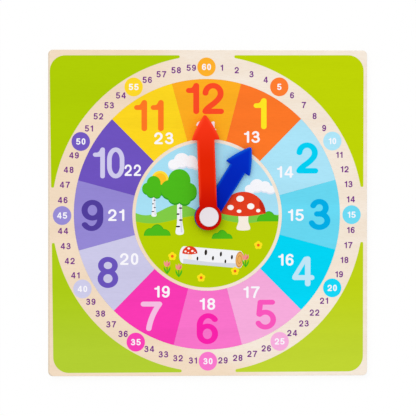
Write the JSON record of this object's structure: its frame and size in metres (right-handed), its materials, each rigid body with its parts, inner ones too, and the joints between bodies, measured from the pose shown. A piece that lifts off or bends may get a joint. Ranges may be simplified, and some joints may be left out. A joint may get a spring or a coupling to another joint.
{
  "type": "wooden clock puzzle",
  "caption": "Square plywood teaching clock: lift-out hour pieces in a round recess round a picture disc, with an hour hand and a minute hand that turn on a rivet.",
  "frame": {"origin": "centre of the board's back face, which lies on the table", "axes": "+Z out of the printed face, +Y towards twelve o'clock, +X towards three o'clock"},
  "size_m": [0.3, 0.3, 0.0169],
  "materials": {
    "birch_plywood": "pale birch plywood, sanded and clear-sealed",
    "picture_print": null,
    "hour_print_01": "plywood with a satin printed face",
    "hour_print_02": "plywood with a satin printed face",
    "hour_print_03": "plywood with a satin printed face",
    "hour_print_04": "plywood with a satin printed face",
    "hour_print_05": "plywood with a satin printed face",
    "hour_print_06": "plywood with a satin printed face",
    "hour_print_07": "plywood with a satin printed face",
    "hour_print_08": "plywood with a satin printed face",
    "hour_print_09": "plywood with a satin printed face",
    "hour_print_10": "plywood with a satin printed face",
    "hour_print_11": "plywood with a satin printed face",
    "hour_print_12": "plywood with a satin printed face",
    "blue_plastic": "moulded blue plastic, glossy",
    "red_plastic": "moulded red plastic, glossy",
    "white_plastic": "moulded white plastic",
    "spacer_plastic": "moulded off-white washer"
  },
  "bodies": {
    "board": {"backing_board": "birch_plywood", "face_frame": "birch_plywood", "picture_disc": "picture_print", "lower_spacer": "spacer_plastic", "middle_spacer": "spacer_plastic", "rivet_post": "white_plastic", "rivet_cap": "white_plastic"},
    "hour_piece_01": {"hour_piece_01": "hour_print_01"},
    "hour_piece_02": {"hour_piece_02": "hour_print_02"},
    "hour_piece_03": {"hour_piece_03": "hour_print_03"},
    "hour_piece_04": {"hour_piece_04": "hour_print_04"},
    "hour_piece_05": {"hour_piece_05": "hour_print_05"},
    "hour_piece_06": {"hour_piece_06": "hour_print_06"},
    "hour_piece_07": {"hour_piece_07": "hour_print_07"},
    "hour_piece_08": {"hour_piece_08": "hour_print_08"},
    "hour_piece_09": {"hour_piece_09": "hour_print_09"},
    "hour_piece_10": {"hour_piece_10": "hour_print_10"},
    "hour_piece_11": {"hour_piece_11": "hour_print_11"},
    "hour_piece_12": {"hour_piece_12": "hour_print_12"},
    "hour_hand": {"hour_hand": "blue_plastic"},
    "minute_hand": {"minute_hand": "red_plastic"}
  },
  "joints": [
    {"name": "hour_hand_turn", "type": "hinge", "parent": "board", "child": "hour_hand", "pos_m": [-0.0019, -0.0037, 0.00985], "axis": [0, 0, 1], "continuous": true},
    {"name": "minute_hand_turn", "type": "hinge", "parent": "board", "child": "minute_hand", "pos_m": [-0.0019, -0.0037, 0.01375], "axis": [0, 0, 1], "continuous": true},
    {"name": "hour_piece_01_lift", "type": "slide", "parent": "board", "child": "hour_piece_01", "axis": [0, 0, 1], "range_m": [0, 0.0018]},
    {"name": "hour_piece_02_lift", "type": "slide", "parent": "board", "child": "hour_piece_02", "axis": [0, 0, 1], "range_m": [0, 0.02]},
    {"name": "hour_piece_03_lift", "type": "slide", "parent": "board", "child": "hour_piece_03", "axis": [0, 0, 1], "range_m": [0, 0.02]},
    {"name": "hour_piece_04_lift", "type": "slide", "parent": "board", "child": "hour_piece_04", "axis": [0, 0, 1], "range_m": [0, 0.02]},
    {"name": "hour_piece_05_lift", "type": "slide", "parent": "board", "child": "hour_piece_05", "axis": [0, 0, 1], "range_m": [0, 0.02]},
    {"name": "hour_piece_06_lift", "type": "slide", "parent": "board", "child": "hour_piece_06", "axis": [0, 0, 1], "range_m": [0, 0.02]},
    {"name": "hour_piece_07_lift", "type": "slide", "parent": "board", "child": "hour_piece_07", "axis": [0, 0, 1], "range_m": [0, 0.02]},
    {"name": "hour_piece_08_lift", "type": "slide", "parent": "board", "child": "hour_piece_08", "axis": [0, 0, 1], "range_m": [0, 0.02]},
    {"name": "hour_piece_09_lift", "type": "slide", "parent": "board", "child": "hour_piece_09", "axis": [0, 0, 1], "range_m": [0, 0.02]},
    {"name": "hour_piece_10_lift", "type": "slide", "parent": "board", "child": "hour_piece_10", "axis": [0, 0, 1], "range_m": [0, 0.02]},
    {"name": "hour_piece_11_lift", "type": "slide", "parent": "board", "child": "hour_piece_11", "axis": [0, 0, 1], "range_m": [0, 0.02]},
    {"name": "hour_piece_12_lift", "type": "slide", "parent": "board", "child": "hour_piece_12", "axis": [0, 0, 1], "range_m": [0, 0.0057]}
  ]
}
